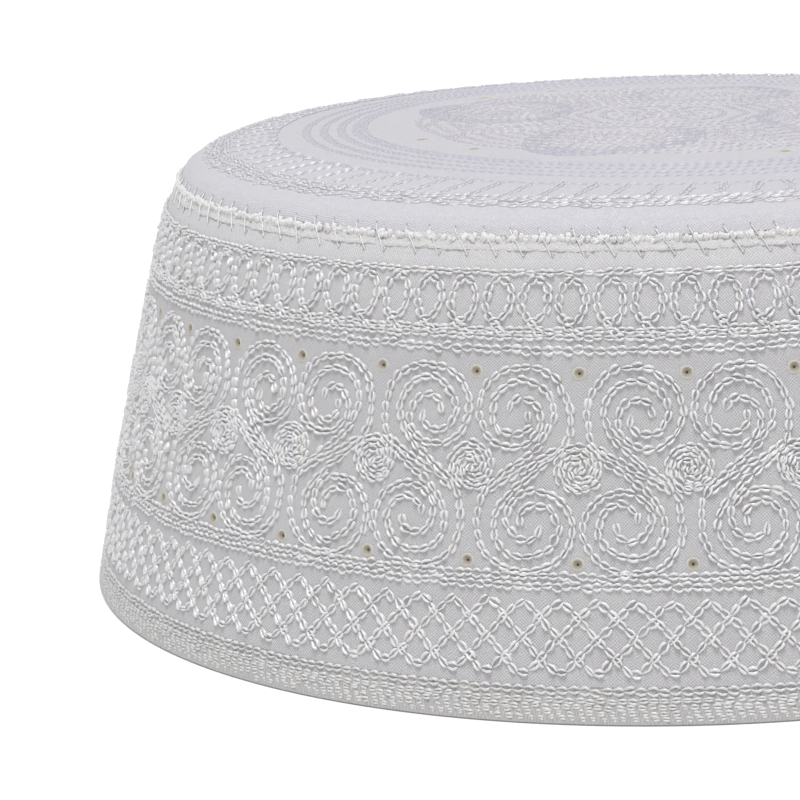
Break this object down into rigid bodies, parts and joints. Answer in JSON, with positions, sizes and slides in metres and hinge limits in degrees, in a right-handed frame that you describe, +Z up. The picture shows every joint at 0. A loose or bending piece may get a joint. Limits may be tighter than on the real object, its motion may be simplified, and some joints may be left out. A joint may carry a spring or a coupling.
{
  "type": "prayer cap",
  "caption": "Round brimless embroidered prayer cap: tapering side wall, flat crown, overcast seam fold, thick stitched hem, and an open hollow for the head.",
  "frame": {"origin": "middle of the rim, on the surface that the cap rests on", "axes": "+Z up out of the crown, -Y towards the side that the picture shows, +X to the right of that view"},
  "size_m": [0.1828, 0.1828, 0.0687],
  "materials": {
    "cotton_cloth": "fine plain-woven cotton, pale grey-lavender, matt",
    "embroidery_thread": "glossy off-white rayon chain stitch"
  },
  "bodies": {
    "root": {"side_band": "cotton_cloth", "crown": "cotton_cloth", "seam_fold": "cotton_cloth", "hem": "embroidery_thread"}
  },
  "joints": []
}
